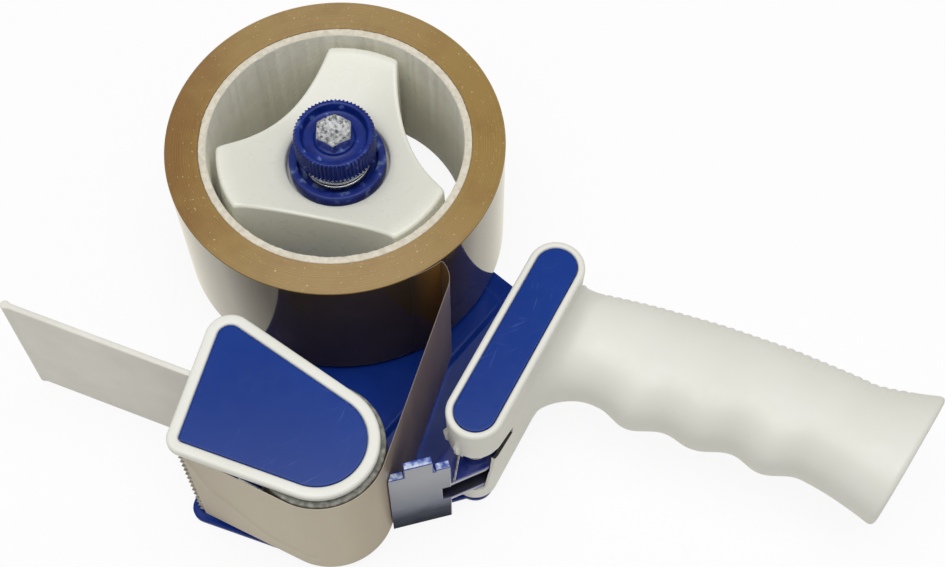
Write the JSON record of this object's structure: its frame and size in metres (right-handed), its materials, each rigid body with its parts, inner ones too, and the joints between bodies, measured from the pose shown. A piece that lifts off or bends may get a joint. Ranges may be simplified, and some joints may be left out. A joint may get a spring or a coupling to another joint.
{
  "type": "packing tape dispenser",
  "caption": "Handheld packing tape dispenser with a steel side plate, braked core hub, rubber roller, serrated blade, wiper flap, sprung tape lever and moulded pistol grip.",
  "frame": {"origin": "hub axis at the back face of the side plate, which is the face that the dispenser lies on", "axes": "+X towards the end of the grip, +Y from the front roller towards the roll, +Z off the plate along the hub axis"},
  "size_m": [0.2674, 0.1639, 0.0619],
  "materials": {
    "plate_paint": "glossy navy blue paint",
    "turned_steel": "turned",
    "brake_fibre": "matt brown friction disc",
    "ivory_moulding": "satin ivory moulding",
    "blue_moulding": "glossy blue moulding",
    "blue_inlay": "satin blue with light scuffs",
    "bright_zinc": "bright zinc plate",
    "blade_steel": "bright rolled strip",
    "cardboard": "wound paper board",
    "brown_tape": "wound brown film, glossy round its side",
    "single_tape": "single layer of brown film",
    "grey_rubber": "matt grey",
    "dark_moulding": "matt",
    "pale_moulding": "satin pale grey"
  },
  "bodies": {
    "frame": {"frame_plate": "plate_paint", "spindle_post": "turned_steel", "friction_washer": "brake_fibre", "brake_flange": "blue_moulding", "tension_spring": "bright_zinc", "tape_web": "single_tape", "roller_shaft": "turned_steel", "roller_washers": "pale_moulding", "front_cover": "ivory_moulding", "cover_inlay": "blue_inlay", "cover_post": "turned_steel", "cover_screws": "bright_zinc", "blade": "blade_steel", "blade_bracket": "blade_steel", "blade_rivets": "bright_zinc", "bracket_rivets": "bright_zinc", "wiper_holder": "ivory_moulding", "handle": "ivory_moulding", "handle_inlay": "blue_inlay", "handle_screws": "bright_zinc", "grip_end_plug": "ivory_moulding", "lever_pin": "turned_steel"},
    "roll": {"core_hub": "ivory_moulding", "tape_core": "cardboard", "tape_winding": "brown_tape"},
    "roller": {"roller_core": "dark_moulding", "roller_sleeve": "grey_rubber"},
    "washer": {"thrust_washer": "bright_zinc"},
    "knob": {"tension_knob": "blue_moulding", "knob_bolt": "bright_zinc"},
    "lever": {"tape_lever": "blue_moulding", "lever_spring": "bright_zinc"},
    "wiper": {"wiper_flap": "pale_moulding"}
  },
  "joints": [
    {"name": "roll_spin", "type": "hinge", "parent": "frame", "child": "roll", "pos_m": [0, 0, 0.03], "axis": [0, 0, 1], "continuous": true},
    {"name": "roller_spin", "type": "hinge", "parent": "frame", "child": "roller", "pos_m": [-0.0008, -0.0951, 0.03], "axis": [0, 0, 1], "continuous": true},
    {"name": "tension_travel", "type": "slide", "parent": "frame", "child": "washer", "axis": [0, 0, 1], "range_m": [-0.002, 0.001], "deforming": ["tension_spring"]},
    {"name": "knob_turn", "type": "hinge", "parent": "washer", "child": "knob", "pos_m": [0, 0, 0.055], "axis": [0, 0, 1], "range_deg": [-720, 360]},
    {"name": "lever_swing", "type": "hinge", "parent": "frame", "child": "lever", "pos_m": [0.0412, -0.0862, 0.024], "axis": [0, 0, 1], "range_deg": [0, 12], "stiffness_Nm_per_rad": 0.05, "springref_deg": -28.65},
    {"name": "wiper_flex", "type": "hinge", "parent": "frame", "child": "wiper", "pos_m": [-0.028, -0.0779, 0.03], "axis": [0, 0, 1], "range_deg": [-8, 8], "stiffness_Nm_per_rad": 0.2}
  ],
  "couplings": [
    {"joint": "roller_spin", "follows": "roll_spin", "ratio": -2.789},
    {"joint": "knob_turn", "follows": "tension_travel", "rad_per_m": 6283.2}
  ]
}
